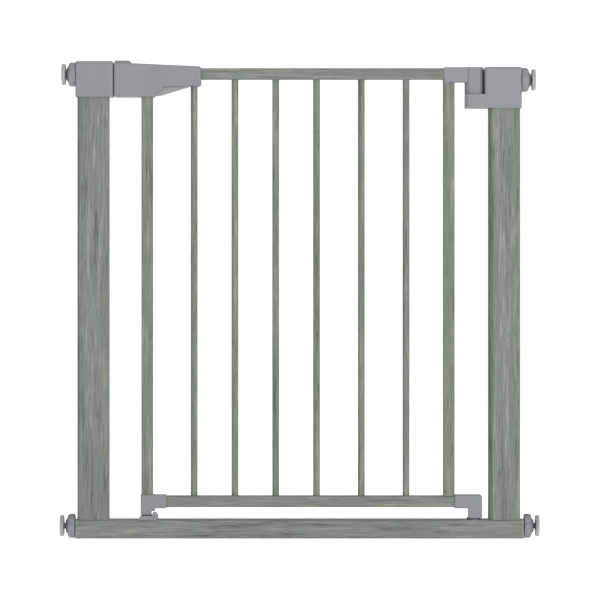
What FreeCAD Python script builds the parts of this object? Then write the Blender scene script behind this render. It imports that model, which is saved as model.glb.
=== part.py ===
# Pressure-fit safety gate: a U-shaped frame, a swinging door with its latch, and four wall adjusters.
# Millimetres. X runs towards the hinge side, Y to the back and Z up, from the floor at mid-width.
import FreeCAD, Part
import os
import re
import Sketcher

os.makedirs("parts", exist_ok=True)
doc = FreeCAD.newDocument("Gate")
sheet = doc.addObject("Spreadsheet::Sheet", "Dims")

dimensions = {
    # fits
    "fit_gap": 0.1, "running_gap": 0.05, "press_gap": 0.02,
    # frame tubes
    "bar_length": 711.2, "bar_side": 30, "bar_wall": 1.5, "tube_corner": 2.5,
    "post_width": 50, "post_depth": 30, "post_wall": 1.2, "post_length": 703,
    "right_post_inset": 2.6, "right_post_drop": 5,
    # caps on the posts
    "latch_cap_over": 3, "latch_cap_nose": 7.4, "latch_cap_depth": 36, "latch_cap_skirt": 26,
    "latch_cap_rise": 31, "keeper_side": 13.4, "keeper_depth": 12.8,
    "hinge_cap_over": 2.5, "hinge_cap_nose": 7, "hinge_cap_depth": 35, "hinge_cap_skirt": 39,
    "hinge_cap_rise": 26.8, "hinge_shelf": 22, "shelf_reach": 14.3, "shelf_rounding": 4, "fin_start": 11.8,
    "cap_rounding": 3,
    # wall adjusters
    "flange_thickness": 4.2, "plug_length": 18, "bottom_spindle_height": 19.4,
    "latch_spindle_rise": 10.4, "hinge_spindle_rise": 6.8, "spindle_radius": 4.95,
    "spindle_depth": 44, "wheel_radius": 19.2, "wheel_thickness": 11.5, "wheel_gap": 0.2,
    "wheel_hub_radius": 9, "wheel_hub_length": 3.6,
    "flute_radius": 5, "flute_centre": 22.5, "pad_radius": 17, "pad_thickness": 3.8,
    "rubber_thickness": 2.2, "bottom_pad_reach": 24.4, "top_pad_reach": 22.8, "spindle_seat": 1.5,
    # door tubes
    "rail_side": 18.2, "rail_wall": 1.2, "rail_corner": 2.5, "door_lift": 19.5, "top_rail_rise": 2,
    "rod_diameter": 11, "rod_bore": 9, "first_rod_gap": 75.1, "narrow_share": 65.5,
    "wide_share": 71.8, "last_share": 68.5,
    # hinges
    "hinge_reach": 23.3, "hinge_pin_radius": 4, "barrel_half_width": 14.8, "barrel_half_depth": 12.5,
    "barrel_rounding": 9.2, "washer_radius": 13.2, "washer_thickness": 0.6,
    "hinge_stile_back": 40.4, "sleeve_wall": 1.5, "sleeve_length": 32.6, "sleeve_drop": 4.4,
    "bracket_skin": 1.5, "bracket_cheek": 2.25, "leg_right": 12.8, "leg_left": 9.2,
    "bush_radius": 11.5, "bush_height": 2.6, "leg_clearance": 3, "tenon_length": 20,
    # handle
    "swing_gap": 1, "handle_length": 139.2, "handle_half_depth": 18, "handle_wall": 2.2,
    "handle_step": 63.2, "handle_slope": 16.6, "handle_tuck": 16, "handle_fall": 6.5,
    "handle_rounding": 3, "latch_stile_in": 52.8, "bolt_side": 12, "bolt_length": 36.5,
    "bolt_rise": 35, "button_length": 12, "guard_length": 26,
    "guard_rise": 58, "screw_radius": 1.5,
    "screw_head_radius": 3, "boss_radius": 4,
    # trigger and foot bolt
    "pivot_in": 115.2, "pivot_rise": 21.5, "pivot_radius": 2, "hub_radius": 4.5,
    "trigger_half_width": 8.5, "arm_thickness": 5.4, "arm_half_width": 4, "rod_radius": 2.5,
    "collar_radius": 5, "collar_thickness": 2, "collar_slack": 0.9, "foot_pin_radius": 3,
    "foot_leg_drop": 10, "foot_leg_width": 22.4, "foot_notch": 5.5, "foot_notch_height": 5.4,
    "foot_length": 41, "foot_end_wall": 1.2,
    # catch saddle and its one-way stop
    "saddle_base": 4, "saddle_lip": 6.3, "lip_thickness": 3, "saddle_left": 14.45,
    "saddle_right": 17, "stop_width": 8, "stop_height": 12.7, "tab_shelf": 7.8,
}
for row, (name, number) in enumerate(dimensions.items(), start=1):
    sheet.set(f"A{row}", str(number))
    sheet.setAlias(f"A{row}", name)
doc.recompute()

# Places that several pieces share, each worked out from the sheet.
bar_half = "(bar_length / 2)"
left_post_in = "(post_width - bar_length / 2)"
right_post_out = "(bar_length / 2 - right_post_inset)"
right_post_in = "(bar_length / 2 - right_post_inset - post_width)"
post_top = "(bar_side + post_length)"
right_top = "(bar_side + post_length - right_post_drop)"
latch_face = f"({left_post_in} + latch_cap_nose)"
cap_low = f"({post_top} - latch_cap_skirt)"
shelf_low = f"({right_top} - hinge_cap_skirt)"
shelf_top = f"({right_top} - hinge_cap_skirt + hinge_shelf)"
hinge_x = f"({right_post_in} - hinge_reach)"
handle_left = f"({latch_face} + swing_gap)"
latch_stile_x = f"({handle_left} + latch_stile_in)"
stile_left = f"({latch_stile_x} - rail_side / 2)"
stile_right = f"({latch_stile_x} + rail_side / 2)"
hinge_stile_x = f"({hinge_x} - hinge_stile_back)"
rail_end = f"({hinge_stile_x} + rail_side / 2)"
low_rail = "(bar_side + door_lift)"
low_rail_top = "(bar_side + door_lift + rail_side)"
top_rail = f"({post_top} + top_rail_rise)"
top_rail_mid = f"({top_rail} + rail_side / 2)"
top_rail_top = f"({top_rail} + rail_side)"
handle_end = f"({handle_left} + handle_length)"
handle_end_top = f"({top_rail_top} + handle_wall + fit_gap)"
pivot_x = f"({handle_left} + pivot_in)"
pivot_z = f"({cap_low} + pivot_rise)"
arm_mid = f"({pivot_z} - 1.5)"
bolt_mid = f"({cap_low} + bolt_rise)"
first_rod_x = f"({latch_stile_x} + first_rod_gap)"
button_low = f"({cap_low} + 54.9)"
foot_low = f"({low_rail} - bracket_skin - foot_leg_drop)"
bracket_low = f"({low_rail} - bracket_skin)"
bracket_top = f"({low_rail_top} + bracket_skin)"
bracket_half = "(rail_side / 2 + bracket_cheek)"


def bound(text):
    """An expression on the sheet's cells."""
    return re.sub(r"[a-z]\w*", lambda word: "Dims." + word[0] if word[0] in dimensions else word[0], text)


def value(text):
    return float(sheet.evalExpression(bound(text)))


def minus(text):
    return f"(-({text}))"


def new_body(label):
    body = doc.addObject("PartDesign::Body", label)
    body.Label = label
    return body


def sketch_at(body, axis, place):
    roles = {"X": "YZ_Plane", "Y": "XZ_Plane", "Z": "XY_Plane"}
    sketch = body.newObject("Sketcher::SketchObject", "Outline")
    plane = next(feature for feature in body.Origin.OriginFeatures if feature.Role == roles[axis])
    sketch.AttachmentSupport = [(plane, "")]
    sketch.MapMode = "FlatFace"
    offset = minus(place) if axis == "Y" else place
    sketch.setExpression("AttachmentOffset.Base.z", bound(offset))
    return sketch


def fix_point(sketch, geometry, end, u, v):
    for kind, text, axis_line in (("DistanceX", u, -2), ("DistanceY", v, -1)):
        if text == "0":
            sketch.addConstraint(Sketcher.Constraint("PointOnObject", geometry, end, axis_line))
            continue
        index = sketch.addConstraint(Sketcher.Constraint(kind, -1, 1, geometry, end, value(text)))
        sketch.setExpression(f"Constraints[{index}]", bound(text))


def extrude(body, axis, span, draw, cut):
    """Pads or pockets what draw puts in a sketch, from span[0] to span[1] along the axis."""
    low, high = span
    sketch = sketch_at(body, axis, high if cut != (axis == "Y") else low)
    draw(sketch)
    feature = body.newObject("PartDesign::Pocket" if cut else "PartDesign::Pad", "Cut" if cut else "Block")
    feature.Profile = sketch
    feature.setExpression("Length", bound(f"({high}) - ({low})"))
    sketch.Visibility = False
    return feature


def prism(body, axis, span, corners, cut=False):
    """A straight-sided outline; its corners are (X, Z) for axis Y, (X, Y) for Z, (Y, Z) for X."""
    def draw(sketch):
        points = [FreeCAD.Vector(value(u), value(v), 0) for u, v in corners]
        for start, end in zip(points, points[1:] + points[:1]):
            sketch.addGeometry(Part.LineSegment(start, end))
        for index in range(len(points)):
            follower = (index + 1) % len(points)
            sketch.addConstraint(Sketcher.Constraint("Coincident", index, 2, follower, 1))
        for index, (u, v) in enumerate(corners):
            fix_point(sketch, index, 1, u, v)
    return extrude(body, axis, span, draw, cut)


def block(body, x, y, z, cut=False):
    (x0, x1), (y0, y1) = x, y
    return prism(body, "Z", z, [(x0, y0), (x1, y0), (x1, y1), (x0, y1)], cut)


def disc(body, axis, span, centre, radius, cut=False):
    def draw(sketch):
        middle = FreeCAD.Vector(value(centre[0]), value(centre[1]), 0)
        sketch.addGeometry(Part.Circle(middle, FreeCAD.Vector(0, 0, 1), value(radius)))
        fix_point(sketch, 0, 3, *centre)
        index = sketch.addConstraint(Sketcher.Constraint("Radius", 0, value(radius)))
        sketch.setExpression(f"Constraints[{index}]", bound(radius))
    return extrude(body, axis, span, draw, cut)


def both_sides(half):
    return (minus(half), half)


def round_off(body, radius, *tests):
    """Fillets the edges that pass every test."""
    doc.recompute()
    base = body.Tip
    edges = enumerate(base.Shape.Edges, start=1)
    names = [f"Edge{number}" for number, edge in edges if all(test(edge) for test in tests)]
    fillet = body.newObject("PartDesign::Fillet", "Rounding")
    fillet.Base = (base, names)
    fillet.setExpression("Radius", bound(radius))


def runs_along(axis):
    direction = FreeCAD.Vector(*(float(letter == axis) for letter in "XYZ"))

    def test(edge):
        if len(edge.Vertexes) < 2:
            return False
        chord = edge.Vertexes[1].Point - edge.Vertexes[0].Point
        return abs(edge.Length - abs(chord.dot(direction))) < 1e-5
    return test


def lies_at(axis, place):
    def test(edge):
        target = value(place)
        return all(abs(getattr(vertex.Point, axis.lower()) - target) < 1e-4 for vertex in edge.Vertexes)
    return test


def either(first, second):
    return lambda edge: first(edge) or second(edge)


def square_tube(label, axis, span, u, v, wall, corner):
    """A rectangular tube: u and v are the outline's (low, high) across the axis."""
    body = new_body(label)
    (u0, u1), (v0, v1) = u, v
    prism(body, axis, span, [(u0, v0), (u1, v0), (u1, v1), (u0, v1)])
    round_off(body, corner, runs_along(axis))
    inner_u = (f"{u0} + {wall}", f"{u1} - {wall}")
    inner_v = (f"{v0} + {wall}", f"{v1} - {wall}")
    corners = [(inner_u[0], inner_v[0]), (inner_u[1], inner_v[0]), (inner_u[1], inner_v[1]),
               (inner_u[0], inner_v[1])]
    prism(body, axis, span, corners, cut=True)
    return body


# ---- frame ----
saddle_screw_places = [(f"{latch_stile_x} - 9", "0"), (f"{latch_stile_x} + 12.5", "4")]


def build_bottom_bar():
    span = both_sides(bar_half)
    bar = square_tube("bottom_bar", "X", span, both_sides("bar_side / 2"), ("0", "bar_side"), "bar_wall",
                      "tube_corner")
    top_wall = ("bar_side - 2 * bar_wall", "bar_side + 1")
    disc(bar, "Z", top_wall, (hinge_x, "0"), "hinge_pin_radius + press_gap", cut=True)
    for centre in saddle_screw_places:
        disc(bar, "Z", top_wall, centre, "screw_radius + running_gap", cut=True)


def build_posts():
    half = both_sides("post_depth / 2")
    sides = [("left_post", (minus(bar_half), left_post_in), post_top, cap_low),
             ("right_post", (right_post_in, right_post_out), right_top, shelf_low)]
    for label, x, top, cap in sides:
        post = square_tube(label, "Z", ("bar_side", top), x, half, "post_wall", "tube_corner")
        screw = (f"({x[0]} + {x[1]}) / 2", f"{cap} + 13")
        disc(post, "Y", ("post_depth / 2 - 2 * post_wall", "post_depth / 2 + 1"), screw,
             "screw_radius + running_gap", cut=True)


def cap_shell(label, x, depth, z, post_x, top):
    """A moulded cap with rounded edges and a pocket that takes the top of its post."""
    cap = new_body(label)
    block(cap, x, both_sides(f"{depth} / 2"), z)
    round_off(cap, "cap_rounding", either(runs_along("Z"), lies_at("Z", z[1])))
    post = (f"{post_x[0]} - fit_gap", f"{post_x[1]} + fit_gap")
    block(cap, post, both_sides("post_depth / 2 + fit_gap"), (z[0], f"{top} + fit_gap"), cut=True)
    screw = (f"({post_x[0]} + {post_x[1]}) / 2", f"{z[0]} + 13")
    disc(cap, "Y", ("post_depth / 2 - 1", f"{depth} / 2 + 1"), screw, "screw_radius + running_gap", cut=True)
    disc(cap, "Y", (f"{depth} / 2 - 1", f"{depth} / 2 + 1"), screw, "screw_head_radius + fit_gap", cut=True)
    return cap


def build_latch_cap():
    outer = f"({minus(bar_half)} - latch_cap_over)"
    cap = cap_shell("latch_cap", (outer, latch_face), "latch_cap_depth",
                    (cap_low, f"{post_top} + latch_cap_rise"),
                    (minus(bar_half), left_post_in), post_top)
    keeper_z = (f"{bolt_mid} - keeper_side / 2", f"{bolt_mid} + keeper_side / 2")
    block(cap, (f"{latch_face} - keeper_depth", f"{latch_face} + 1"), both_sides("keeper_side / 2"),
          keeper_z, cut=True)
    disc(cap, "X", (f"{outer} - 1", f"{outer} + spindle_depth + 1"),
         ("0", f"{post_top} + latch_spindle_rise"),
         "spindle_radius + 2 * running_gap", cut=True)


def build_hinge_cap():
    outer = f"({right_post_out} + hinge_cap_over)"
    cap = cap_shell("hinge_cap", (f"{right_post_in} - hinge_cap_nose", outer), "hinge_cap_depth",
                    (shelf_low, f"{right_top} + hinge_cap_rise"), (right_post_in, right_post_out), right_top)
    shelf_left = f"({hinge_x} - shelf_reach)"
    block(cap, (shelf_left, f"{right_post_in} - hinge_cap_nose + cap_rounding"),
          both_sides("hinge_cap_depth / 2 - 0.3"), (shelf_low, shelf_top))
    round_off(cap, "shelf_rounding", runs_along("Z"), lies_at("X", shelf_left))
    block(cap, (f"{hinge_x} + fin_start", f"{right_post_in} - hinge_cap_nose + cap_rounding"),
          ("barrel_half_depth + 0.5", "hinge_cap_depth / 2"),
          (f"{shelf_top} - 1", f"{right_top} + hinge_cap_rise - 3"))
    disc(cap, "Z", (f"{shelf_low} + 4", f"{shelf_top} + 1"), (hinge_x, "0"), "hinge_pin_radius + press_gap",
         cut=True)
    disc(cap, "X", (f"{outer} - spindle_depth - 1", f"{outer} + 1"),
         ("0", f"{right_top} + hinge_spindle_rise"),
         "spindle_radius + 2 * running_gap", cut=True)


def build_hinge_pins():
    upper = new_body("upper_hinge_pin")
    disc(upper, "Z", (f"{shelf_low} + 4.5", f"{right_top} + 20"), (hinge_x, "0"), "hinge_pin_radius")
    washer = new_body("hinge_washer")
    disc(washer, "Z", (shelf_top, f"{shelf_top} + washer_thickness"), (hinge_x, "0"), "washer_radius")
    disc(washer, "Z", (f"{shelf_top} - 1", f"{shelf_top} + 2"), (hinge_x, "0"),
         "hinge_pin_radius + running_gap", cut=True)
    lower = new_body("lower_hinge_pin")
    disc(lower, "Z", ("bar_side / 2", f"{low_rail} + 9"), (hinge_x, "0"), "hinge_pin_radius")
    bush = new_body("lower_hinge_bush")
    disc(bush, "Z", ("bar_side", "bar_side + bush_height"), (hinge_x, "0"), "bush_radius")
    disc(bush, "Z", ("bar_side - 1", "bar_side + 5"), (hinge_x, "0"), "hinge_pin_radius + press_gap",
         cut=True)


def build_saddle():
    """The catch plate on the bottom bar: a base with a socket, two lips, and the sliding one-way stop."""
    left, right = f"{latch_stile_x} - saddle_left", f"{latch_stile_x} + saddle_right"
    saddle = new_body("catch_saddle")
    base_top = "bar_side + saddle_base"
    base = [(left, "bar_side"), (right, "bar_side"), (right, base_top), (f"{left} + 2.4", base_top)]
    prism(saddle, "Y", both_sides("bar_side / 2"), base)
    lip_top = "bar_side + saddle_lip"
    for y in (("bar_side / 2 - lip_thickness", "bar_side / 2"),
              ("-bar_side / 2", "lip_thickness - bar_side / 2")):
        lip = [(f"{left} + 1", "bar_side"), (right, "bar_side"), (right, lip_top),
               (f"{left} + 4.5", lip_top)]
        prism(saddle, "Y", y, lip)
    disc(saddle, "Z", ("bar_side - 1", "bar_side + 9"), (latch_stile_x, "0"),
         "foot_pin_radius + 3 * fit_gap", cut=True)
    for centre in saddle_screw_places:
        disc(saddle, "Z", ("bar_side - 1", "bar_side + 9"), centre, "screw_radius + running_gap", cut=True)
        disc(saddle, "Z", (f"{base_top} - 1.4", "bar_side + 9"), centre, "screw_head_radius + fit_gap",
             cut=True)
    stop = new_body("stop_tab")
    stop_x = (f"{right} - stop_width", right)
    inner_lip = "lip_thickness - bar_side / 2"
    block(stop, stop_x, ("-bar_side / 2", inner_lip), (f"{lip_top} + fit_gap", "bar_side + stop_height"))
    round_off(stop, "3", runs_along("Y"), lies_at("Z", "bar_side + stop_height"))
    shelf_z = (f"{lip_top} + fit_gap", "bar_side + tab_shelf")
    block(stop, stop_x, (f"{inner_lip} - 1", f"{inner_lip} + 5"), shelf_z)
    block(stop, stop_x, (f"{inner_lip} + fit_gap", f"{inner_lip} + 5"),
          (f"{base_top} + fit_gap", "bar_side + tab_shelf"))


def build_screws():
    """Identical screws share a node: each is a shank and a head, pointing away from its head."""
    caps = new_body("cap_screws")
    for x, z, depth in ((f"{left_post_in} - post_width / 2", f"{cap_low} + 13", "latch_cap_depth"),
                        (f"{right_post_in} + post_width / 2", f"{shelf_low} + 13", "hinge_cap_depth")):
        disc(caps, "Y", ("post_depth / 2 - 5", f"{depth} / 2 - 0.6"), (x, z), "screw_radius")
        disc(caps, "Y", (f"{depth} / 2 - 1", f"{depth} / 2"), (x, z), "screw_head_radius")
    saddle = new_body("saddle_screws")
    for centre in saddle_screw_places:
        disc(saddle, "Z", ("bar_side - 8", "bar_side + saddle_base - 1"), centre, "screw_radius")
        head = ("bar_side + saddle_base - 1.4", "bar_side + saddle_base - 0.1")
        disc(saddle, "Z", head, centre, "screw_head_radius")


# ---- wall adjusters ----
outer_faces = {
    "bottom_left": (-1, f"{bar_half} + flange_thickness", "bottom_spindle_height", "bottom_pad_reach"),
    "bottom_right": (1, f"{bar_half} + flange_thickness", "bottom_spindle_height", "bottom_pad_reach"),
    "top_left": (-1, f"{bar_half} + latch_cap_over", f"{post_top} + latch_spindle_rise", "top_pad_reach"),
    "top_right": (1, f"{right_post_out} + hinge_cap_over", f"{right_top} + hinge_spindle_rise",
                  "top_pad_reach"),
}


def face_outwards(body, side, face, height):
    """Modelled pointing along +X from its face; turned round for the left side."""
    body.Placement = FreeCAD.Placement(FreeCAD.Vector(),
                                       FreeCAD.Rotation(FreeCAD.Vector(0, 0, 1), 90 - 90 * side))
    body.setExpression("Placement.Base.x", bound(f"{side} * ({face})"))
    body.setExpression("Placement.Base.z", bound(height))


def build_end_caps():
    for name, side in (("bar_end_cap_left", -1), ("bar_end_cap_right", 1)):
        cap = new_body(name)
        half = "bar_side / 2"
        block(cap, ("0", "flange_thickness"), both_sides(half), ("0", "bar_side"))
        round_off(cap, "tube_corner", either(runs_along("X"), lies_at("X", "flange_thickness")))
        inner = f"{half} - bar_wall - fit_gap"
        block(cap, ("-plug_length", "1"), both_sides(inner),
              ("bar_wall + fit_gap", "bar_side - bar_wall - fit_gap"))
        disc(cap, "X", ("-plug_length - 1", "flange_thickness + 1"), ("0", "bottom_spindle_height"),
             "spindle_radius + 2 * running_gap", cut=True)
        face_outwards(cap, side, bar_half, "0")


def build_adjuster(place, side, face, height, reach):
    wheel = new_body(f"adjuster_wheel_{place}")
    wheel_span = ("wheel_gap", "wheel_gap + wheel_thickness")
    disc(wheel, "X", wheel_span, ("0", "0"), "wheel_radius")
    flute = disc(wheel, "X", ("0", "wheel_gap + wheel_thickness + 1"),
                 ("flute_centre * sin(22.5)", "flute_centre * cos(22.5)"),
                 "flute_radius", cut=True)
    doc.recompute()
    ring = wheel.newObject("PartDesign::PolarPattern", "Flutes")
    ring.Originals = [flute]
    ring.Axis = (flute.Profile[0], ["N_Axis"])
    ring.Angle = 360
    ring.Occurrences = 8
    wheel.Tip = ring
    disc(wheel, "X", ("wheel_gap + wheel_thickness - 1", "wheel_gap + wheel_thickness + wheel_hub_length"),
         ("0", "0"), "wheel_hub_radius")
    disc(wheel, "X", ("0", "wheel_gap + wheel_thickness + wheel_hub_length + 1"), ("0", "0"),
         "spindle_radius + running_gap",
         cut=True)
    spindle = new_body(f"spindle_{place}")
    pad_back = f"{reach} - rubber_thickness - pad_thickness"
    disc(spindle, "X", ("-spindle_depth", f"{pad_back} + spindle_seat"), ("0", "0"), "spindle_radius")
    pad = new_body(f"wall_pad_{place}")
    disc(pad, "X", (pad_back, f"{reach} - rubber_thickness"), ("0", "0"), "pad_radius")
    disc(pad, "X", (f"{pad_back} - 1", f"{pad_back} + spindle_seat"), ("0", "0"),
         "spindle_radius + press_gap", cut=True)
    rubber = new_body(f"pad_rubber_{place}")
    disc(rubber, "X", (f"{reach} - rubber_thickness", reach), ("0", "0"), "pad_radius")
    for piece in (wheel, spindle, pad, rubber):
        face_outwards(piece, side, face, height)


# ---- door ----
def build_door_tubes():
    half = both_sides("rail_side / 2")
    top = square_tube("top_rail", "X", (stile_left, f"{hinge_x} - barrel_half_width - 3"), half,
                      (top_rail, top_rail_top),
                      "rail_wall", "rail_corner")
    for x in rail_screw_places:
        disc(top, "Y", ("rail_side / 2 - 2 * rail_wall", "rail_side / 2 + 1"), (x, top_rail_mid),
             "screw_radius + running_gap", cut=True)
    low = square_tube("bottom_rail", "X", (stile_left, rail_end), half, (low_rail, low_rail_top),
                      "rail_wall", "rail_corner")
    disc(low, "Z", (f"{low_rail} - 1", f"{low_rail_top} + 1"), (latch_stile_x, "0"),
         "foot_pin_radius + 5 * fit_gap", cut=True)
    latch = square_tube("latch_stile", "Z", (low_rail_top, top_rail), (stile_left, stile_right), half,
                        "rail_wall", "rail_corner")
    slot = (f"{arm_mid} - 11.5", f"{arm_mid} + 4")
    block(latch, (f"{stile_right} - 2 * rail_wall", f"{stile_right} + 1"),
          both_sides("arm_half_width + 0.5"), slot, cut=True)
    stile = (f"{hinge_stile_x} - rail_side / 2", rail_end)
    square_tube("hinge_stile", "Z", (low_rail_top, top_rail), stile, half, "rail_wall", "rail_corner")


def build_rods():
    """Six upright rods; past the first, their gaps share the rest of the door in proportion."""
    rest = f"({hinge_stile_x} - {first_rod_x}) / (3 * narrow_share + 2 * wide_share + last_share)"
    for index in range(6):
        narrow, wide = min(index, 3), max(index - 3, 0)
        x = f"{first_rod_x} + {rest} * ({narrow} * narrow_share + {wide} * wide_share)"
        rod = new_body(f"upright_rod_{index + 1}")
        disc(rod, "Z", (low_rail_top, top_rail), (x, "0"), "rod_diameter / 2")
        disc(rod, "Z", (f"{low_rail_top} - 1", f"{top_rail} + 1"), (x, "0"), "rod_bore / 2", cut=True)


def build_hinge_arm():
    """The door's top hinge: a sleeve on the rail's end and a barrel that turns on the upper pin."""
    arm = new_body("hinge_arm")
    barrel_low = f"{shelf_top} + washer_thickness + fit_gap"
    barrel_z = (barrel_low, f"{right_top} + hinge_cap_rise")
    block(arm, (f"{hinge_x} - barrel_half_width", f"{hinge_x} + barrel_half_width"),
          both_sides("barrel_half_depth"), barrel_z)
    round_off(arm, "barrel_rounding", runs_along("Z"))
    sleeve_left = f"({hinge_x} - barrel_half_width - sleeve_length - 0.4)"
    outer_half = "rail_side / 2 + sleeve_wall"
    sleeve_z = (f"{top_rail} - sleeve_drop", f"{top_rail_top} + sleeve_wall")
    block(arm, (sleeve_left, f"{hinge_x} - barrel_half_width + 4"), both_sides(outer_half), sleeve_z)
    rail = (f"{sleeve_left} - 1", f"{hinge_x} - barrel_half_width - 3 + fit_gap")
    block(arm, rail, both_sides("rail_side / 2 + running_gap"),
          (f"{top_rail} - running_gap", f"{top_rail_top} + running_gap"), cut=True)
    stile = (f"{hinge_stile_x} - rail_side / 2 - fit_gap", f"{rail_end} + fit_gap")
    block(arm, stile, both_sides("rail_side / 2 + fit_gap"),
          (f"{sleeve_z[0]} - 1", f"{top_rail} + running_gap"), cut=True)
    disc(arm, "Z", (f"{barrel_low} - 1", f"{right_top} + 20.5"), (hinge_x, "0"),
         "hinge_pin_radius + running_gap", cut=True)


def build_lower_bracket():
    """The door's lower hinge: plugged into the bottom rail, with a leg that turns on the lower pin."""
    bracket = new_body("lower_hinge_bracket")
    right = f"({hinge_x} + leg_right)"
    half = both_sides(bracket_half)
    outline = [(rail_end, bracket_low), (f"{hinge_x} - leg_left", bracket_low),
               (f"{hinge_x} - leg_left", "bar_side + leg_clearance"),
               (right, "bar_side + leg_clearance"), (right, bracket_top), (rail_end, bracket_top)]
    prism(bracket, "Y", half, outline)
    round_off(bracket, "4", runs_along("Y"), lies_at("X", right), lies_at("Z", bracket_top))
    round_off(bracket, "1.5", runs_along("Z"))
    tenon = "(rail_side / 2 - rail_wall - fit_gap)"
    tenon_z = (f"{low_rail} + rail_wall + fit_gap", f"{low_rail_top} - rail_wall - fit_gap")
    block(bracket, (f"{rail_end} - tenon_length", f"{rail_end} + 1"), both_sides(tenon), tenon_z)
    disc(bracket, "Z", ("bar_side + leg_clearance - 1", f"{low_rail} + 9.5"), (hinge_x, "0"),
         "hinge_pin_radius + running_gap", cut=True)


def build_latch_foot():
    """The shoe on the door's lower latch corner; the foot pin runs down through its leg."""
    foot = new_body("latch_foot")
    left = f"({stile_left} - foot_end_wall)"
    leg_right = f"({left} + foot_leg_width)"
    notch = f"{leg_right} - foot_notch"
    outline = [(left, foot_low), (notch, foot_low), (notch, f"{foot_low} + foot_notch_height"),
               (leg_right, f"{foot_low} + foot_notch_height"), (leg_right, bracket_low),
               (f"{left} + foot_length", bracket_low),
               (f"{left} + foot_length", bracket_top), (left, bracket_top)]
    prism(foot, "Y", both_sides(bracket_half), outline)
    round_off(foot, "1.5", runs_along("Z"),
              either(lies_at("X", left), lies_at("X", f"{left} + foot_length")))
    rail = both_sides("rail_side / 2 + running_gap")
    block(foot, (f"{stile_left} - running_gap", f"{left} + foot_length + 1"), rail,
          (f"{low_rail} - running_gap", f"{low_rail_top} + running_gap"), cut=True)
    block(foot, (f"{stile_left} - running_gap", f"{stile_right} + running_gap"), rail,
          (f"{low_rail_top} - 1", f"{bracket_top} + 1"), cut=True)
    disc(foot, "Z", (f"{foot_low} - 1", f"{low_rail} + 1"), (latch_stile_x, "0"),
         "foot_pin_radius + running_gap", cut=True)


# ---- handle: two shells on the door's top latch corner ----
boss_places = [(f"{handle_left} + 11.2", f"{cap_low} + 11"), (f"{handle_left} + 33.2", f"{cap_low} + 11")]
rail_screw_places = [f"{handle_left} + 72", f"{handle_left} + 125"]


def handle_outline(inset):
    corner = f"0.41 * ({inset})"
    step = f"{handle_left} + handle_step"
    return [(f"{handle_left} + {inset}", f"{cap_low} + {inset}"),
            (f"{step} - {corner}", f"{cap_low} + {inset}"),
            (f"{step} + handle_slope - {corner}", f"{cap_low} + handle_tuck + {inset}"),
            (f"{handle_end} - {inset}", f"{cap_low} + handle_tuck + 1.5 + {inset}"),
            (f"{handle_end} - {inset}", f"{handle_end_top} - {inset}"),
            (f"{handle_left} + {inset}", f"{handle_end_top} + handle_fall - {inset}")]


def build_handle_shell(label, rear):
    shell = new_body(label)

    def depth(near, far):
        """From near to far, measured out from the joint between the shells."""
        return (near, far) if rear else (minus(far), minus(near))

    outer = "handle_half_depth"
    skin = "handle_half_depth - handle_wall"
    prism(shell, "Y", depth("0", outer), handle_outline("0"))
    round_off(shell, "handle_rounding",
              either(runs_along("Y"), lies_at("Y", outer if rear else minus(outer))))
    prism(shell, "Y", depth("0", skin), handle_outline("handle_wall"), cut=True)
    seat = f"{stile_left} - fit_gap"
    for x in ((f"{handle_left} + 24.2", f"{handle_left} + 26.2"), (f"{seat} - 1.7", seat)):
        block(shell, x, depth("0", f"{skin} + 0.5"), (f"{cap_low} + 22", f"{cap_low} + 51.8"))
    block(shell, (f"{handle_left} + 1.2", f"{handle_left} + 26.6"), depth("0", "9"),
          (f"{button_low} - 3.9", f"{button_low} + 1.7"))
    guard_top = f"{cap_low} + guard_rise"
    prism(shell, "Y", depth("7.5", "13.5"),
          [(f"{handle_left} + 1", f"{guard_top} - 6"),
           (f"{handle_left} + 1 + guard_length", f"{guard_top} - 6"),
           (f"{handle_left} + guard_length - 2", guard_top), (f"{handle_left} + 1", guard_top)])
    for centre in boss_places:
        disc(shell, "Y", depth("0", f"{skin} + 0.5"), centre, "boss_radius")
    disc(shell, "Y", depth("trigger_half_width + 0.7", f"{skin} + 0.5"), (pivot_x, pivot_z), "boss_radius")
    opening = "bolt_side / 2 + 1.5 * fit_gap"
    block(shell, (f"{handle_left} - 1", f"{handle_left} + 30"), depth("0", opening),
          (f"{bolt_mid} - ({opening})", f"{bolt_mid} + ({opening})"), cut=True)
    block(shell, (f"{handle_left} + 2.2", f"{handle_left} + 25"), depth("0", "6.7"),
          (f"{button_low} - 0.2", f"{button_low} + 6"), cut=True)
    block(shell, (f"{handle_left} + 5.2", f"{handle_left} + 22"), depth("0", "4.2"),
          (f"{button_low} - 5", f"{button_low} + 6"), cut=True)
    side = "rail_side / 2 + fit_gap"
    block(shell, (f"{handle_end} - handle_wall - 1", f"{handle_end} + 1"), depth("0", side),
          (f"{top_rail} - fit_gap", f"{top_rail_top} + fit_gap"), cut=True)
    block(shell, (f"{stile_left} - fit_gap", f"{stile_right} + fit_gap"), depth("0", side),
          (f"{cap_low} - 1", f"{cap_low} + handle_wall + 0.1"), cut=True)
    disc(shell, "Z", (f"{cap_low} + handle_tuck", f"{cap_low} + handle_tuck + 5"), (first_rod_x, "0"),
         "rod_diameter / 2 + fit_gap", cut=True)
    block(shell, (f"{handle_left} + handle_step - 0.7", f"{pivot_x} + hub_radius + 0.8"),
          depth("0", "trigger_half_width + 0.5"), (f"{cap_low} - 1", f"{pivot_z} - 0.5"), cut=True)
    disc(shell, "Y", depth("0", "handle_half_depth - 3.5"), (pivot_x, pivot_z), "pivot_radius + press_gap",
         cut=True)
    build_screw_seats(shell, depth, rear, skin, outer)


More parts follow.
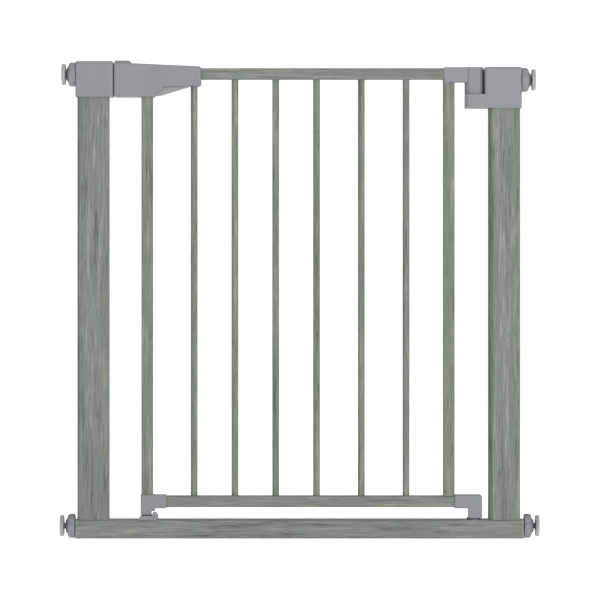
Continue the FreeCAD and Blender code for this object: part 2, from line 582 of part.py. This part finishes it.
def build_screw_seats(shell, depth, rear, skin, outer):
    shank = "screw_radius + running_gap"
    head = "screw_head_radius + fit_gap"
    for centre in boss_places:
        disc(shell, "Y", depth("0", f"{outer} + 1" if rear else "9"), centre, shank, cut=True)
        if rear:
            disc(shell, "Y", depth(f"{outer} - 2", f"{outer} + 1"), centre, head, cut=True)
    if rear:
        for x in rail_screw_places:
            disc(shell, "Y", depth("rail_side / 2 + fit_gap", f"{skin} + 0.5"), (x, top_rail_mid),
                 "boss_radius")
            disc(shell, "Y", depth("rail_side / 2", f"{outer} + 1"), (x, top_rail_mid), shank, cut=True)
            disc(shell, "Y", depth(f"{outer} - 2", f"{outer} + 1"), (x, top_rail_mid), head, cut=True)


def build_handle_fasteners():
    screws = new_body("handle_screws")
    head = ("handle_half_depth - 2", "handle_half_depth - 0.6")
    ends = [(centre, "-8") for centre in boss_places] + [((x, top_rail_mid),
                                                          "rail_side / 2 - 4") for x in rail_screw_places]
    for centre, tip in ends:
        disc(screws, "Y", (tip, "handle_half_depth - 1.5"), centre, "screw_radius")
        disc(screws, "Y", head, centre, "screw_head_radius")
    pin = new_body("trigger_pin")
    disc(pin, "Y", both_sides("handle_half_depth - 4"), (pivot_x, pivot_z), "pivot_radius")


# ---- latch bolt, trigger and foot bolt ----
def build_latch_bolt():
    bolt = new_body("latch_bolt")
    tail = f"{handle_left} + 0.7 + bolt_length"
    half = both_sides("bolt_side / 2")
    block(bolt, (f"{handle_left} + 0.7", tail), half,
          (f"{bolt_mid} - bolt_side / 2", f"{bolt_mid} + bolt_side / 2"))
    round_off(bolt, "1", runs_along("X"))
    disc(bolt, "X", (f"{tail} - 24", f"{tail} + 1"), ("0", bolt_mid), "4.4", cut=True)
    slide = new_body("thumb_slide")
    block(slide, (f"{handle_left} + 15.6", f"{handle_left} + 21.6"), both_sides("4"),
          (f"{bolt_mid} + bolt_side / 2", f"{button_low} + 1"))
    block(slide, (f"{handle_left} + 12.6", f"{handle_left} + 12.6 + button_length"), both_sides("6.5"),
          (button_low, f"{button_low} + 3.4"))


def build_trigger():
    trigger = new_body("trigger")
    arm_z = (f"{arm_mid} - arm_thickness / 2", f"{arm_mid} + arm_thickness / 2")
    nose = f"{handle_left} + handle_step + 0.8"
    outline = [(nose, f"{cap_low} + 1"), (f"{handle_left} + 76.2", f"{cap_low} + 2.8"),
               (f"{pivot_x} + 3.5", f"{cap_low} + 15.8"),
               (f"{pivot_x} + 3.5", arm_z[1]), (nose, arm_z[1])]
    prism(trigger, "Y", both_sides("trigger_half_width"), outline)
    disc(trigger, "Y", both_sides("trigger_half_width"), (pivot_x, pivot_z), "hub_radius")
    block(trigger, (f"{latch_stile_x} - 5", f"{nose} + 1"), both_sides("arm_half_width"), arm_z)
    fork = (f"{latch_stile_x} - 6", f"{latch_stile_x} + rod_radius + 2 * fit_gap")
    block(trigger, fork, both_sides("rod_radius + 2 * fit_gap"), (f"{arm_z[0]} - 1", f"{arm_z[1]} + 1"),
          cut=True)
    disc(trigger, "Y", both_sides("trigger_half_width + 1"), (pivot_x, pivot_z),
         "pivot_radius + running_gap", cut=True)


def build_foot_bolt():
    """The release rod hangs in the stile on two collars that straddle the trigger's fork."""
    rod = new_body("release_rod")
    reach = "(arm_thickness / 2 + collar_slack)"
    disc(rod, "Z", (f"{low_rail_top} - 2", f"{arm_mid} + {reach} + collar_thickness"), (latch_stile_x, "0"),
         "rod_radius")
    for span in ((f"{arm_mid} + {reach}", f"{arm_mid} + {reach} + collar_thickness"),
                 (f"{arm_mid} - {reach} - collar_thickness", f"{arm_mid} - {reach}")):
        disc(rod, "Z", span, (latch_stile_x, "0"), "collar_radius")
    pin = new_body("foot_pin")
    disc(pin, "Z", (f"{foot_low} + 0.2", f"{low_rail_top} - 2"), (latch_stile_x, "0"), "foot_pin_radius")


def coil_spring(label, place, turn, length, radius, wire, turns):
    """A helix along its own Z; the Placement turns it and puts its first end in place."""
    helix = Part.makeHelix((length - 2 * wire) / turns, length - 2 * wire, radius)
    section = Part.Wire(Part.makeCircle(wire, FreeCAD.Vector(radius, 0, 0), FreeCAD.Vector(0, 1, 0)))
    spring = doc.addObject("Part::Feature", label)
    spring.Label = label
    spring.Shape = Part.Wire(helix.Edges).makePipeShell([section], True, True)
    spring.Placement = FreeCAD.Placement(place, turn)


def build_springs():
    wire = 0.45
    bore_end = value(f"{handle_left} + 0.7 + bolt_length - 24")
    bolt_length_free = value(f"{stile_left} - fit_gap - 1.7") - bore_end
    along_x = FreeCAD.Rotation(FreeCAD.Vector(0, 1, 0), 90)
    start = FreeCAD.Vector(bore_end + wire, 0, value(bolt_mid))
    coil_spring("bolt_spring", start, along_x, bolt_length_free, 3.4, wire, 9)
    trigger_top = value(f"{arm_mid} + arm_thickness / 2")
    foot = FreeCAD.Vector(value(f"{handle_left} + 80"), 0, trigger_top + wire)
    coil_spring("trigger_spring", foot, FreeCAD.Rotation(), value(top_rail) - trigger_top, 3.4, wire, 3)


build_bottom_bar()
build_posts()
build_latch_cap()
build_hinge_cap()
build_hinge_pins()
build_saddle()
build_screws()
build_end_caps()
for corner, (corner_side, corner_face, corner_height, corner_reach) in outer_faces.items():
    build_adjuster(corner, corner_side, corner_face, corner_height, corner_reach)
build_door_tubes()
build_rods()
build_hinge_arm()
build_lower_bracket()
build_latch_foot()
build_handle_shell("handle_front_shell", rear=False)
build_handle_shell("handle_rear_shell", rear=True)
build_handle_fasteners()
build_latch_bolt()
build_trigger()
build_foot_bolt()
build_springs()
doc.recompute()

subparts = []
for item in doc.Objects:
    if "Invalid" in item.State or "Error" in item.State:
        raise RuntimeError(f"{item.Label} in {item.getParentGeoFeatureGroup()} failed: {item.State}")
    if item.TypeId == "PartDesign::Pocket":
        body = item.getParentGeoFeatureGroup()
        if item.Shape.Volume > item.BaseFeature.Shape.Volume - 1e-3:
            raise RuntimeError(f"a cut in {body.Label} removes nothing: {item.Label}")
    if item.TypeId in ("PartDesign::Body", "Part::Feature"):
        subparts.append(item)
for item in subparts:
    if item.Shape.isNull() or not item.Shape.isValid() or not item.Shape.Solids:
        raise RuntimeError(f"{item.Label} has no valid solid")
    item.Shape.exportStep(f"parts/{item.Label}.step")
print(len(subparts), "sub-parts written")
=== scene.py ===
# Pressure-fit safety gate: finishes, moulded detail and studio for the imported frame. Metres throughout.
import math

import bmesh
import bpy
from mathutils import Matrix, Vector


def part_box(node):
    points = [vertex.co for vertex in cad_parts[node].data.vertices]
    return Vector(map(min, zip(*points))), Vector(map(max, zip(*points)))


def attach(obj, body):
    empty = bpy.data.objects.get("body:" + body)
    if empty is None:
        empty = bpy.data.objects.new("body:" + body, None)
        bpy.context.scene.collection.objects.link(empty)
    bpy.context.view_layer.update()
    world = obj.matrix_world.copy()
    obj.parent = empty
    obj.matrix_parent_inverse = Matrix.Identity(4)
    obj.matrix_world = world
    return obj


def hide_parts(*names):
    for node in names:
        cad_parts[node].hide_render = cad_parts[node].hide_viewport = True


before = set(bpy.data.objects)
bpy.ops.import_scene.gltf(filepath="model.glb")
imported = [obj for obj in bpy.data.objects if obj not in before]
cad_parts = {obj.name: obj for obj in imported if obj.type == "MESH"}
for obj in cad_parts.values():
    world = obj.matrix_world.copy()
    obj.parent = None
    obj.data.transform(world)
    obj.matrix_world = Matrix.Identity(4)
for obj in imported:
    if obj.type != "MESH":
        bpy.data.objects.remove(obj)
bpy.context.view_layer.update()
print("frame loaded:", len(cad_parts), "nodes")

# which way each adjuster points
corners = {"bottom_left": -1, "bottom_right": 1, "top_left": -1, "top_right": 1}


# ---- materials ----
class Nodes:
    # a short way to add and wire shader nodes
    def __init__(self, name):
        self.material = bpy.data.materials.new(name)
        self.material.use_nodes = True
        self.tree = self.material.node_tree
        self.shader = self.tree.nodes["Principled BSDF"]

    def add(self, kind, **settings):
        node = self.tree.nodes.new(kind)
        for key, setting in settings.items():
            if hasattr(node, key):
                setattr(node, key, setting)
            else:
                node.inputs[key.replace("_", " ").title()].default_value = setting
        return node

    def wire(self, output, target):
        self.tree.links.new(output, target)

    def coordinates(self, scale):
        place = self.add("ShaderNodeTexCoord")
        mapping = self.add("ShaderNodeMapping")
        mapping.inputs["Scale"].default_value = scale
        self.wire(place.outputs["Object"], mapping.inputs["Vector"])
        return mapping.outputs["Vector"]

    def noise(self, vector, scale, detail=3.0, roughness=0.5, distortion=0.0):
        noise = self.add("ShaderNodeTexNoise", scale=scale, detail=detail, roughness=roughness,
                         distortion=distortion)
        self.wire(vector, noise.inputs["Vector"])
        return noise.outputs["Fac"]

    def ramp(self, factor, *stops):
        ramp = self.add("ShaderNodeValToRGB")
        elements = ramp.color_ramp.elements
        while len(elements) < len(stops):
            elements.new(0.5)
        for element, (position, colour) in zip(elements, stops):
            element.position = position
            element.color = (*colour, 1.0)
        self.wire(factor, ramp.inputs["Fac"])
        return ramp.outputs["Color"]

    def mix(self, factor, first, second, mode="MIX"):
        mix = self.add("ShaderNodeMix", data_type="RGBA", blend_type=mode)
        for value, socket in ((factor, mix.inputs[0]), (first, mix.inputs[6]), (second, mix.inputs[7])):
            if isinstance(value, bpy.types.NodeSocket):
                self.wire(value, socket)
            else:
                socket.default_value = value
        return mix.outputs[2]

    def math(self, operation, first, second):
        node = self.add("ShaderNodeMath", operation=operation)
        for value, socket in ((first, node.inputs[0]), (second, node.inputs[1])):
            if isinstance(value, bpy.types.NodeSocket):
                self.wire(value, socket)
            else:
                socket.default_value = value
        return node.outputs[0]

    def bump(self, height, strength, distance):
        bump = self.add("ShaderNodeBump", strength=strength, distance=distance)
        self.wire(height, bump.inputs["Height"])
        self.wire(bump.outputs["Normal"], self.shader.inputs["Normal"])


def grey(level, warmth=0.0):
    return (level * (1 + warmth), level, level * (1 - warmth))


def makeWoodFilm(name, grain, paintedShadeBands=()):
    # printed wood film on steel tube; the grain runs along one axis, and the bands are painted shade: each
    # darkens a strip from x0 to x1
    film = {
        "paleTone": (0.274, 0.281, 0.245), "midTone": (0.184, 0.194, 0.170),
        "darkTone": (0.082, 0.089, 0.081),
        "coolTone": (0.150, 0.175, 0.159), "paintedShadeTone": (0.60, 0.62, 0.63, 1.0),
        "broad": 105.0, "streaks": 340.0, "fibres": 900.0, "stretch": 0.05,
        "clouds": 60.0, "cloudStretch": 0.15,
    }
    nodes = Nodes(name)
    along = nodes.coordinates([film["stretch"] if axis == grain else 1.0 for axis in "XYZ"])
    broad = nodes.noise(along, film["broad"], 2.0, 0.5, 0.5)
    streaks = nodes.noise(along, film["streaks"], 4.0, 0.66, 0.9)
    fibres = nodes.noise(along, film["fibres"], 2.0, 0.6, 0.3)
    loosely = nodes.coordinates([film["cloudStretch"] if axis == grain else 1.0 for axis in "XYZ"])
    clouds = nodes.noise(loosely, film["clouds"], 2.0, 0.5, 0.3)
    both = nodes.mix(0.62, broad, streaks)
    tone = nodes.ramp(both, (0.36, film["darkTone"]), (0.49, film["midTone"]), (0.53, film["midTone"]),
                      (0.63, film["paleTone"]))
    cool = nodes.ramp(clouds, (0.46, (0.0, 0.0, 0.0)), (0.60, (1.0, 1.0, 1.0)))
    tone = nodes.mix(cool, tone, nodes.mix(0.5, tone, (*film["coolTone"], 1.0)))
    pores = nodes.ramp(fibres, (0.34, (0.74, 0.74, 0.74)), (0.46, (1.0, 1.0, 1.0)))
    tone = nodes.mix(0.8, tone, pores, "MULTIPLY")
    # painted shade: each band darkens its strip the way the shaded side of a post looks under a light from
    # the right
    if paintedShadeBands:
        place = nodes.add("ShaderNodeTexCoord")
        split = nodes.add("ShaderNodeSeparateXYZ")
        nodes.wire(place.outputs["Object"], split.inputs[0])
        wobble = nodes.math("MULTIPLY", nodes.math("SUBTRACT", broad, 0.5), 0.006)
        across = nodes.math("ADD", split.outputs["X"], wobble)
        for low, high in paintedShadeBands:
            apart = nodes.math("ABSOLUTE", nodes.math("SUBTRACT", across, (low + high) / 2), 0.0)
            inside = nodes.math("DIVIDE", apart, (high - low) / 2)
            strength = nodes.ramp(inside, (0.80, (0.85, 0.85, 0.85)), (1.0, (0.0, 0.0, 0.0)))
            tone = nodes.mix(strength, tone, nodes.mix(1.0, tone, film["paintedShadeTone"], "MULTIPLY"))
    nodes.wire(tone, nodes.shader.inputs["Base Color"])
    shine = nodes.ramp(streaks, (0.3, grey(0.62)), (0.7, grey(0.50)))
    nodes.wire(shine, nodes.shader.inputs["Roughness"])
    nodes.shader.inputs["Specular IOR Level"].default_value = 0.3
    nodes.bump(fibres, 0.25, 0.0002)
    return nodes.material


def makeMoulded(name, colour, roughness, grain=0.12):
    # fine-textured moulding with a little unevenness in tone and sheen
    nodes = Nodes(name)
    place = nodes.coordinates((1.0, 1.0, 1.0))
    wide = nodes.noise(place, 14.0, 2.0, 0.5, 0.2)
    texture = nodes.noise(place, 2600.0, 2.0, 0.6)
    darker = tuple(channel * 0.955 for channel in colour)
    lighter = tuple(min(channel * 1.035, 1.0) for channel in colour)
    tone = nodes.ramp(wide, (0.35, darker), (0.65, lighter))
    nodes.wire(tone, nodes.shader.inputs["Base Color"])
    shine = nodes.ramp(texture, (0.3, grey(roughness - 0.05)), (0.7, grey(roughness + 0.06)))
    nodes.wire(shine, nodes.shader.inputs["Roughness"])
    nodes.bump(texture, grain, 0.0001)
    return nodes.material


def makePlatedSteel(name, level, roughness):
    nodes = Nodes(name)
    place = nodes.coordinates((1.0, 1.0, 1.0))
    patches = nodes.noise(place, 180.0, 4.0, 0.6)
    tone = nodes.ramp(patches, (0.3, grey(level * 0.86, -0.01)), (0.7, grey(level, 0.01)))
    nodes.wire(tone, nodes.shader.inputs["Base Color"])
    shine = nodes.ramp(patches, (0.3, grey(roughness + 0.1)), (0.7, grey(roughness)))
    nodes.wire(shine, nodes.shader.inputs["Roughness"])
    nodes.shader.inputs["Metallic"].default_value = 1.0
    nodes.bump(patches, 0.06, 0.0001)
    return nodes.material


def makeRubber(name, colour):
    nodes = Nodes(name)
    speckle = nodes.noise(nodes.coordinates((1.0, 1.0, 1.0)), 1400.0, 4.0, 0.7)
    dusty = tuple(channel * 1.12 for channel in colour)
    nodes.wire(nodes.ramp(speckle, (0.35, colour), (0.75, dusty)), nodes.shader.inputs["Base Color"])
    nodes.shader.inputs["Roughness"].default_value = 0.82
    nodes.bump(speckle, 0.35, 0.0002)
    return nodes.material


filmAlongX = makeWoodFilm("woodFilmAlongX", "X")
filmAlongZ = makeWoodFilm("woodFilmAlongZ", "Z")
leftEdges = [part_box(post)[0].x for post in ("left_post", "right_post")]
# painted shade: a darker strip down each post's left edge, where that side turns away from the light on the
# right; wider on the right post, whose shaded left face is seen
shadeBandStart, shadeBandWidths = 0.004, (0.0035, 0.0065)
postShadeBands = [(edge - shadeBandStart, edge + width) for edge, width in zip(leftEdges, shadeBandWidths)]
postFilmPaintedShade = makeWoodFilm("postFilmPaintedShade", "Z", postShadeBands)
greyPlastic = makeMoulded("greyPlastic", (0.203, 0.209, 0.223), 0.46)
lightPlastic = makeMoulded("lightPlastic", (0.254, 0.266, 0.256), 0.44)
padPlastic = makeMoulded("padPlastic", (0.300, 0.302, 0.305), 0.42)
darkNylon = makeMoulded("darkNylon", (0.095, 0.098, 0.100), 0.5)
buttonPlastic = makeMoulded("buttonPlastic", (0.225, 0.232, 0.246), 0.5)
padRubber = makeRubber("padRubber", (0.335, 0.336, 0.338))
platedSteel = makePlatedSteel("platedSteel", 0.62, 0.30)
darkSteel = makePlatedSteel("darkSteel", 0.22, 0.42)
print("materials made")


# ---- CAD nodes that stay, with their finishes ----
def dressNode(node, material):
    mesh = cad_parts[node].data
    mesh.materials.clear()
    mesh.materials.append(material)


finishes = {
    filmAlongX: ["bottom_bar", "top_rail", "bottom_rail"],
    filmAlongZ: ["latch_stile", "hinge_stile"],
    postFilmPaintedShade: ["left_post", "right_post"],
    greyPlastic: ["latch_cap", "hinge_cap", "handle_front_shell", "handle_rear_shell", "hinge_arm",
                  "latch_foot", "lower_hinge_bracket", "catch_saddle", "stop_tab",
                  "bar_end_cap_left", "bar_end_cap_right"],
    lightPlastic: ["trigger"],
    darkNylon: ["hinge_washer", "lower_hinge_bush"],
    platedSteel: ["upper_hinge_pin", "lower_hinge_pin", "cap_screws", "saddle_screws", "handle_screws",
                  "latch_bolt", "bolt_spring", "trigger_spring", "trigger_pin", "release_rod", "foot_pin"],
}
for finish, nodeNames in finishes.items():
    for nodeName in nodeNames:
        dressNode(nodeName, finish)
print("frame dressed")


# ---- pieces ----
def keepPiece(name, bm, material, body, replaced, sharpAngle=35.0):
    # closes a bmesh into a finished piece that rides on its body
    bmesh.ops.remove_doubles(bm, verts=bm.verts, dist=1e-6)
    bmesh.ops.recalc_face_normals(bm, faces=bm.faces)
    for edge in bm.edges:
        edge.smooth = len(edge.link_faces) == 2 and edge.calc_face_angle(0.0) < math.radians(sharpAngle)
    for face in bm.faces:
        face.smooth = True
    mesh = bpy.data.meshes.new(name)
    bm.to_mesh(mesh)
    bm.free()
    mesh.materials.append(material)
    piece = bpy.data.objects.new(name, mesh)
    bpy.context.scene.collection.objects.link(piece)
    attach(piece, body)
    if replaced:
        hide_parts(*replaced)
    return piece


def bevelEdges(bm, edges, offset, segments=3):
    bmesh.ops.bevel(bm, geom=edges, offset=offset, affect="EDGES", segments=segments, profile=0.5,
                    material=-1, clamp_overlap=True)


def sharpEdges(bm, degrees=40.0):
    limit = math.radians(degrees)
    return [edge for edge in bm.edges if len(edge.link_faces) == 2 and edge.calc_face_angle(0.0) > limit]


def turned(profile, segments=64):
    # spins a half profile of (along X, radius) round the X axis into a closed solid
    bm = bmesh.new()
    points = [bm.verts.new((along, 0.0, radius)) for along, radius in profile]
    for start, end in zip(points, points[1:]):
        bm.edges.new((start, end))
    bmesh.ops.spin(bm, geom=bm.verts[:] + bm.edges[:], axis=(1, 0, 0), cent=(0, 0, 0), steps=segments,
                   angle=math.tau, use_merge=True)
    bmesh.ops.remove_doubles(bm, verts=bm.verts, dist=1e-7)
    bmesh.ops.dissolve_degenerate(bm, edges=bm.edges, dist=1e-7)
    return bm


def facing(bm, side, place):
    # turns a piece that was made along +X towards its side and moves it to its place
    bm.transform(Matrix.Translation(place) @ Matrix.Rotation(0.0 if side > 0 else math.pi, 4, "Z"))


def makeRod(index):
    node = f"upright_rod_{index}"
    low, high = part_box(node)
    rod = {"segments": 40, "wall": 0.001}
    middle = (low + high) / 2
    radius = (high.x - low.x) / 2
    bm = bmesh.new()
    bmesh.ops.create_cone(bm, cap_ends=True, segments=rod["segments"], radius1=radius, radius2=radius,
                          depth=high.z - low.z)
    caps = [face for face in bm.faces if len(face.verts) > 4]
    bmesh.ops.inset_region(bm, faces=caps, thickness=rod["wall"])
    bmesh.ops.translate(bm, vec=middle, verts=bm.verts)
    keepPiece(f"uprightRod{index}", bm, filmAlongZ, "door", [node], 50.0)


def makeWheel(corner, side):
    node = f"adjuster_wheel_{corner}"
    low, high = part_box(node)
    wheel = {"lobes": 8, "lobeDepth": 0.0013, "rimLength": 0.0115, "backBevel": 0.0010, "frontBevel": 0.0030,
             "frontDrop": 0.0024, "hubStart": 0.0142, "hubEnd": 0.0088, "bore": 0.005}
    length, rimLength = high.x - low.x, wheel["rimLength"]
    radius = (high.z - low.z) / 2
    bm = bmesh.new()
    steps = wheel["lobes"] * 12
    bmesh.ops.create_circle(bm, cap_ends=False, segments=steps, radius=radius)
    for vert in bm.verts:
        angle = math.atan2(vert.co.y, vert.co.x)
        lobe = 0.5 - 0.5 * math.cos(wheel["lobes"] * angle)
        vert.co *= 1.0 - wheel["lobeDepth"] / radius * lobe ** 2
    bm.transform(Matrix.Rotation(math.radians(90), 4, "Y"))
    ring = bm.edges[:]

    def grow(edges, along, scale):
        made = bmesh.ops.extrude_edge_only(bm, edges=edges)["geom"]
        verts = [item for item in made if isinstance(item, bmesh.types.BMVert)]
        base = sum((vert.co.x for vert in verts)) / len(verts)
        for vert in verts:
            vert.co.x = base + along
            vert.co.y *= scale
            vert.co.z *= scale
        return [item for item in made if isinstance(item, bmesh.types.BMEdge)]

    def roundTo(edges, newRadius, along=0.0):
        made = bmesh.ops.extrude_edge_only(bm, edges=edges)["geom"]
        for vert in (item for item in made if isinstance(item, bmesh.types.BMVert)):
            flat = Vector((0.0, vert.co.y, vert.co.z)).normalized() * newRadius
            vert.co = Vector((vert.co.x + along, flat.y, flat.z))
        return [item for item in made if isinstance(item, bmesh.types.BMEdge)]

    back, front = wheel["backBevel"], wheel["frontBevel"]
    for vert in bm.verts:
        vert.co.y *= (radius - back) / radius
        vert.co.z *= (radius - back) / radius
    ends = grow(ring, back, radius / (radius - back))
    ends = grow(ends, rimLength - back - front, 1.0)
    ends = grow(ends, front, (radius - wheel["frontDrop"]) / radius)
    ends = roundTo(ends, wheel["hubStart"])
    ends = roundTo(ends, wheel["hubEnd"], length - rimLength)
    ends = roundTo(ends, wheel["bore"])
    roundTo(ends, wheel["bore"], -length)
    bore = [edge for edge in bm.edges if edge.is_boundary]
    bmesh.ops.bridge_loops(bm, edges=bore)
    bevelEdges(bm, sharpEdges(bm, 30.0), 0.0004, 2)
    inner = min(low.x, high.x, key=abs)
    facing(bm, side, Vector((inner, 0.0, (low.z + high.z) / 2)))
    keepPiece(f"adjusterWheel_{corner}", bm, greyPlastic, f"adjuster_{corner}", [node])


def makeSpindle(corner, side):
    node = f"spindle_{corner}"
    low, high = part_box(node)
    spindle = {"pitch": 0.003, "threadDepth": 0.0007, "stepsPerTurn": 28}
    length = high.x - low.x
    radius = (high.z - low.z) / 2
    core = radius - spindle["threadDepth"]
    turns = int(length / spindle["pitch"])
    # one turn-long tooth profile, spun round while it moves along, makes the thread
    bm = bmesh.new()
    pitch = length / turns
    shape = [(0.0, core), (0.22, core), (0.42, radius), (0.60, radius), (0.80, core)]
    points = []
    for turn in range(turns - 1):
        points += [bm.verts.new(((turn + share) * pitch, 0.0, size)) for share, size in shape]
    points.append(bm.verts.new(((turns - 1) * pitch, 0.0, core)))
    for start, end in zip(points, points[1:]):
        bm.edges.new((start, end))
    step = Vector((pitch / spindle["stepsPerTurn"], 0.0, 0.0))
    bmesh.ops.spin(bm, geom=bm.verts[:] + bm.edges[:], axis=(1, 0, 0), cent=(0, 0, 0), dvec=step,
                   steps=spindle["stepsPerTurn"], angle=math.tau, use_merge=False)
    bmesh.ops.remove_doubles(bm, verts=bm.verts, dist=1e-6)
    ends = bmesh.ops.holes_fill(bm, edges=[edge for edge in bm.edges if edge.is_boundary], sides=0)
    bmesh.ops.triangulate(bm, faces=[face for face in ends["faces"] if len(face.verts) > 4])
    inner = min(low.x, high.x, key=abs)
    facing(bm, side, Vector((inner, 0.0, (low.z + high.z) / 2)))
    keepPiece(f"threadedSpindle_{corner}", bm, darkSteel, f"spindle_{corner}", [node], 60.0)


def makePad(corner, side):
    backNode, faceNode = f"wall_pad_{corner}", f"pad_rubber_{corner}"
    low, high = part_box(backNode)
    faceLow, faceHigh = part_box(faceNode)
    pad = {"rim": 0.0012, "collar": 0.0078, "dish": 0.0008, "bore": 0.00497, "chamfer": 0.0008,
           "seat": 0.0015, "grooves": 3,
           "grooveInset": 0.0034, "groovePitch": 0.0042, "grooveDepth": 0.0006}
    radius = (high.z - low.z) / 2
    thick, rubber = high.x - low.x, faceHigh.x - faceLow.x
    rim = pad["rim"]
    back = [(thick, 0.0), (thick, radius), (rim, radius), (rim * 0.35, radius - rim * 0.3),
            (0.0, radius - rim), (pad["dish"], radius - 3 * rim), (pad["dish"], pad["collar"] + 0.0012),
            (0.0, pad["collar"]), (0.0, pad["bore"] + pad["chamfer"]), (pad["seat"], pad["bore"]),
            (pad["seat"], 0.0)]
    bm = turned(back)
    height = (low.z + high.z) / 2
    facing(bm, side, Vector((min(low.x, high.x, key=abs), 0.0, height)))
    keepPiece(f"padBack_{corner}", bm, padPlastic, f"spindle_{corner}", [backNode], 30.0)
    grip = [(0.0, 0.0), (0.0, radius), (rubber - rim, radius), (rubber - rim * 0.3, radius - rim * 0.35),
            (rubber, radius - rim)]
    for ring in range(pad["grooves"]):
        outer = radius - pad["grooveInset"] - ring * pad["groovePitch"]
        floor = rubber - pad["grooveDepth"]
        grip += [(rubber, outer), (floor, outer - 0.0005), (floor, outer - 0.0012), (rubber, outer - 0.0017)]
    grip.append((rubber, 0.0))
    bm = turned(grip)
    facing(bm, side, Vector((min(faceLow.x, faceHigh.x, key=abs), 0.0, height)))
    keepPiece(f"padGrip_{corner}", bm, padRubber, f"spindle_{corner}", [faceNode], 30.0)


def makeThumbSlide():
    low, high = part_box("thumb_slide")
    slide = {"buttonHeight": 0.0026, "stemHalf": 0.004, "stemFrom": 0.003, "stemTo": 0.009, "ribs": 5,
             "ribHeight": 0.0006, "ribHalf": 0.0005, "ribInset": 0.0012, "ribRoot": 0.0012}
    bm = bmesh.new()

    def addBlock(lowest, highest, bevel):
        made = bmesh.ops.create_cube(bm, size=1.0)["verts"]
        bmesh.ops.scale(bm, vec=highest - lowest, verts=made)
        bmesh.ops.translate(bm, vec=(lowest + highest) / 2, verts=made)
        edges = list({edge for vert in made for edge in vert.link_edges})
        bevelEdges(bm, edges, bevel)

    floor = high.z - slide["buttonHeight"]
    addBlock(Vector((low.x, low.y, floor)), Vector((high.x, high.y, high.z - slide["ribHeight"])), 0.0005)
    addBlock(Vector((low.x + slide["stemFrom"], -slide["stemHalf"], low.z)),
             Vector((low.x + slide["stemTo"], slide["stemHalf"], floor + 0.0008)), 0.0003)
    pitch = (high.x - low.x) / (slide["ribs"] + 1)
    for rib in range(1, slide["ribs"] + 1):
        middle = low.x + rib * pitch
        addBlock(Vector((middle - slide["ribHalf"], low.y + slide["ribInset"], floor + slide["ribRoot"])),
                 Vector((middle + slide["ribHalf"], high.y - slide["ribInset"], high.z)), 0.0003)
    keepPiece("ribbedThumbSlide", bm, buttonPlastic, "latch_bolt", ["thumb_slide"])


for rodIndex in range(1, 7):
    makeRod(rodIndex)
for cornerName, cornerSide in corners.items():
    makeWheel(cornerName, cornerSide)
    makeSpindle(cornerName, cornerSide)
    makePad(cornerName, cornerSide)
makeThumbSlide()
print("pieces made")


# ---- studio ----
def makeStudio():
    studio = {"floorSize": 60.0, "floorGlow": 0.60, "sky": 0.62, "skyStrength": 1.12, "flanks": 0.40,
              "topLight": 14.0, "frontLight": 272.0}
    bm = bmesh.new()
    bmesh.ops.create_grid(bm, x_segments=1, y_segments=1, size=studio["floorSize"] / 2)
    mesh = bpy.data.meshes.new("studioFloor")
    bm.to_mesh(mesh)
    bm.free()
    floor = bpy.data.objects.new("studioFloor", mesh)
    bpy.context.scene.collection.objects.link(floor)
    pale = bpy.data.materials.new("paleFloor")
    pale.use_nodes = True
    shader = pale.node_tree.nodes["Principled BSDF"]
    shader.inputs["Base Color"].default_value = (0.9, 0.9, 0.9, 1.0)
    shader.inputs["Roughness"].default_value = 0.9
    shader.inputs["Emission Color"].default_value = (1.0, 1.0, 1.0, 1.0)
    shader.inputs["Emission Strength"].default_value = studio["floorGlow"]
    mesh.materials.append(pale)
    world = bpy.data.worlds.new("studioSky")
    bpy.context.scene.world = world
    world.use_nodes = True
    tree = world.node_tree
    background = tree.nodes["Background"]
    place = tree.nodes.new("ShaderNodeTexCoord")
    split = tree.nodes.new("ShaderNodeSeparateXYZ")
    tree.links.new(place.outputs["Generated"], split.inputs[0])
    shades = []
    # dimmer from the latch side, white behind the gate
    for axis, stops in (("X", ((0.0, studio["flanks"]), (0.45, studio["sky"]))),
                        ("Y", ((0.80, 0.0), (0.90, 1.0)))):
        ramp = tree.nodes.new("ShaderNodeValToRGB")
        for element, (position, level) in zip(ramp.color_ramp.elements, stops):
            element.position = position
            element.color = (level, level, level, 1.0)
        tree.links.new(split.outputs[axis], ramp.inputs["Fac"])
        shades.append(ramp.outputs["Color"])
    brighter = tree.nodes.new("ShaderNodeMix")
    brighter.data_type = "RGBA"
    brighter.blend_type = "LIGHTEN"
    brighter.inputs[0].default_value = 1.0
    for index, shade in enumerate(shades):
        tree.links.new(shade, brighter.inputs[6 + index])
    tree.links.new(brighter.outputs[2], background.inputs["Color"])
    background.inputs["Strength"].default_value = studio["skyStrength"]
    lights = [("topSoftbox", (0.0, -0.3, 2.6), (0.0, 0.0, 0.4), 2.4, studio["topLight"]),
              ("frontSoftbox", (2.6, -7.5, 1.4), (0.0, 0.0, 0.4), 3.9, studio["frontLight"])]
    for name, place, target, size, power in lights:
        lamp = bpy.data.lights.new(name, "AREA")
        lamp.size = size
        lamp.energy = power
        softbox = bpy.data.objects.new(name, lamp)
        softbox.location = place
        softbox.rotation_euler = (Vector(target) - Vector(place)).to_track_quat("-Z", "Y").to_euler()
        softbox.visible_camera = False
        bpy.context.scene.collection.objects.link(softbox)


def makeCamera():
    view = {"distance": 4.3, "eyeHeight": 0.45, "lens": 161.3, "shiftX": 0.0067, "shiftY": -0.0711,
            "sideways": -0.0058}
    lens = bpy.data.cameras.new("frontView")
    lens.lens = view["lens"]
    lens.sensor_width = 36.0
    lens.shift_x = view["shiftX"]
    lens.shift_y = view["shiftY"]
    camera = bpy.data.objects.new("frontView", lens)
    camera.location = (view["sideways"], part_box("bottom_bar")[0].y - view["distance"], view["eyeHeight"])
    camera.rotation_euler = (math.radians(90), 0.0, 0.0)
    bpy.context.scene.collection.objects.link(camera)
    bpy.context.scene.camera = camera


makeStudio()
makeCamera()
bpy.context.scene.view_settings.view_transform = "Standard"
print("studio ready")
